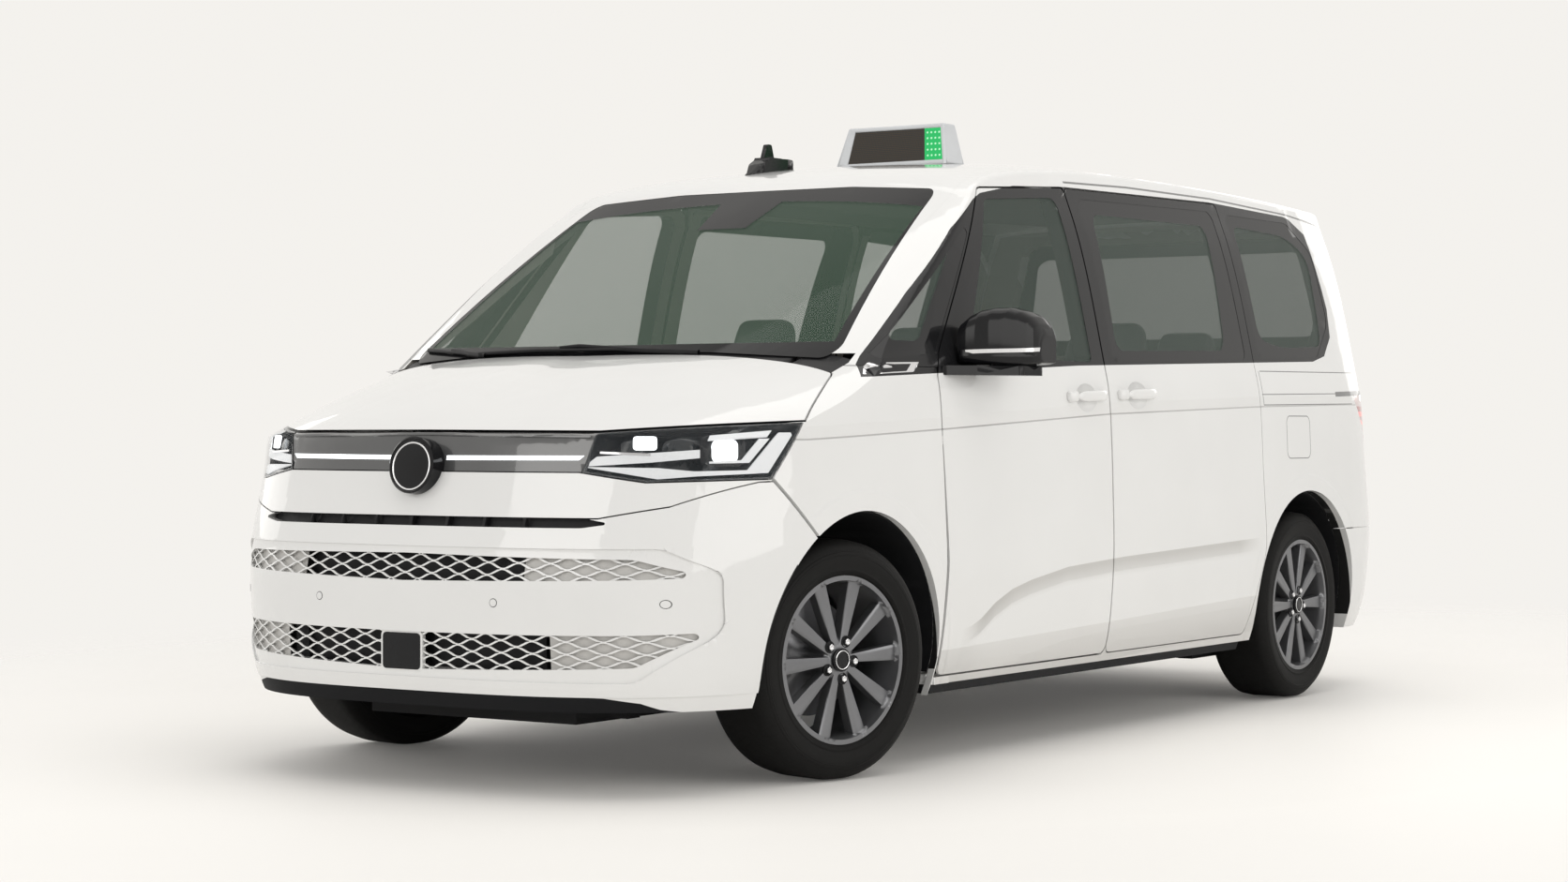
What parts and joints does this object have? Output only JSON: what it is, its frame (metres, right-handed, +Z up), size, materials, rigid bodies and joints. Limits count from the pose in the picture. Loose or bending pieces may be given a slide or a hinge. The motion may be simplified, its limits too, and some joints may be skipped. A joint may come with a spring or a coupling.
{
  "type": "taxi cab",
  "caption": "White passenger van taxi with a lit roof sign, sliding side doors, lift-up tailgate, steered front wheels and three rows of seats.",
  "frame": {"origin": "on the floor under the middle of the vehicle, midway between its ends and its sides", "axes": "+X points forward along the vehicle, +Y to its left and +Z up"},
  "size_m": [4.9648, 2.252, 2.078],
  "materials": {
    "body_paint": "glossy white body paint",
    "lower_black": "grained black lower cladding",
    "gloss_black": "gloss black",
    "grille_black": "satin black grille",
    "tinted_glass": "lightly tinted window glass",
    "lamp_clear": "clear lamp cover",
    "lamp_housing": "dark reflective lamp insides",
    "lamp_red": "red lamp lens",
    "tyre_rubber": "black tyre rubber",
    "wheel_alloy": "dark grey painted alloy",
    "chassis_dark": "dark underbody coating",
    "cast_dark": "bare cast metal",
    "exhaust_steel": "dull steel",
    "cabin_dark": "dark grey cabin plastic",
    "seat_dark": "dark grey seat cloth",
    "seat_light": "light grey seat covering",
    "sign_grey": "pale grey sign housing"
  },
  "bodies": {
    "shell": {"antenna": "gloss_black", "body_side_left": "body_paint", "body_side_right": "body_paint", "bumper_grilles": "body_paint", "cowl": "grille_black", "dashboard": "cabin_dark", "engine": "cast_dark", "exhaust": "exhaust_steel", "floor": "chassis_dark", "front_apron": "lower_black", "front_bumper": "body_paint", "front_carrier": "chassis_dark", "front_panel": "body_paint", "front_seats": "seat_dark", "front_struts": "chassis_dark", "front_subframe": "chassis_dark", "front_wings": "body_paint", "fuel_tank": "lower_black", "headlamp_units": "lamp_housing", "headlamps": "lamp_clear", "light_strip": "gloss_black", "middle_seats": "seat_light", "quarter_glass": "tinted_glass", "rear_axle": "chassis_dark", "rear_bench": "seat_light", "rear_bumper": "body_paint", "rear_member": "chassis_dark", "roof": "body_paint", "sill_covers": "lower_black", "sliding_door_glass": "tinted_glass", "sliding_door_left": "body_paint", "sliding_door_right": "body_paint", "slit_grille": "grille_black", "tail_lamps": "lamp_red", "taxi_sign": "sign_grey", "wheel_housings": "lower_black", "windscreen": "tinted_glass"},
    "bonnet": {"bonnet": "body_paint"},
    "door_front_left": {"front_door_left": "body_paint", "door_glass_left": "tinted_glass", "mirror_left": "gloss_black"},
    "door_front_right": {"front_door_right": "body_paint", "door_glass_right": "tinted_glass", "mirror_right": "gloss_black"},
    "tailgate": {"tailgate": "body_paint", "tailgate_glass": "tinted_glass"},
    "steering_wheel": {"steering_wheel": "cabin_dark"},
    "knuckle_left": {"knuckle_left": "cast_dark"},
    "knuckle_right": {"knuckle_right": "cast_dark"},
    "wheel_front_left": {"rim_front_left": "wheel_alloy", "tyre_front_left": "tyre_rubber"},
    "wheel_front_right": {"rim_front_right": "wheel_alloy", "tyre_front_right": "tyre_rubber"},
    "wheel_rear_left": {"rim_rear_left": "wheel_alloy", "tyre_rear_left": "tyre_rubber"},
    "wheel_rear_right": {"rim_rear_right": "wheel_alloy", "tyre_rear_right": "tyre_rubber"}
  },
  "joints": [
    {"name": "door_front_left_hinge", "type": "hinge", "parent": "shell", "child": "door_front_left", "pos_m": [1.0885, 0.95, 0.71], "axis": [0, 0, -1], "range_deg": [0, 70]},
    {"name": "door_front_right_hinge", "type": "hinge", "parent": "shell", "child": "door_front_right", "pos_m": [1.0885, -0.95, 0.71], "axis": [0, 0, 1], "range_deg": [0, 70]},
    {"name": "bonnet_hinge", "type": "hinge", "parent": "shell", "child": "bonnet", "pos_m": [1.5345, 0, 1.19], "axis": [0, -1, 0], "range_deg": [0, 45]},
    {"name": "tailgate_hinge", "type": "hinge", "parent": "shell", "child": "tailgate", "pos_m": [-2.0855, 0, 1.863], "axis": [0, 1, 0], "range_deg": [0, 85]},
    {"name": "steer_left", "type": "hinge", "parent": "shell", "child": "knuckle_left", "pos_m": [1.5745, 0.6935, 0.34793], "axis": [0, -0.2011, 0.9796], "range_deg": [-22, 48]},
    {"name": "steer_right", "type": "hinge", "parent": "shell", "child": "knuckle_right", "pos_m": [1.5745, -0.6935, 0.34793], "axis": [0, 0.2011, 0.9796], "range_deg": [-22, 48]},
    {"name": "steering_wheel_turn", "type": "hinge", "parent": "shell", "child": "steering_wheel", "pos_m": [0.8745, 0.43, 1.06], "axis": [-0.8829, 0, 0.4695], "range_deg": [-330, 720]},
    {"name": "wheel_front_left_spin", "type": "hinge", "parent": "knuckle_left", "child": "wheel_front_left", "pos_m": [1.60248, 0.81738, 0.34729], "axis": [0.2204, 0.9754, -0.005], "continuous": true},
    {"name": "wheel_front_right_spin", "type": "hinge", "parent": "knuckle_right", "child": "wheel_front_right", "pos_m": [1.54652, -0.81738, 0.34729], "axis": [0.2204, 0.9754, 0.005], "continuous": true},
    {"name": "wheel_rear_left_spin", "type": "hinge", "parent": "shell", "child": "wheel_rear_left", "pos_m": [-1.5495, 0.8205, 0.347], "axis": [0, 1, 0], "continuous": true},
    {"name": "wheel_rear_right_spin", "type": "hinge", "parent": "shell", "child": "wheel_rear_right", "pos_m": [-1.5495, -0.8205, 0.347], "axis": [0, 1, 0], "continuous": true}
  ],
  "couplings": [
    {"joint": "steer_right", "follows": "steer_left", "ratio": 1},
    {"joint": "steering_wheel_turn", "follows": "steer_left", "ratio": 15}
  ]
}
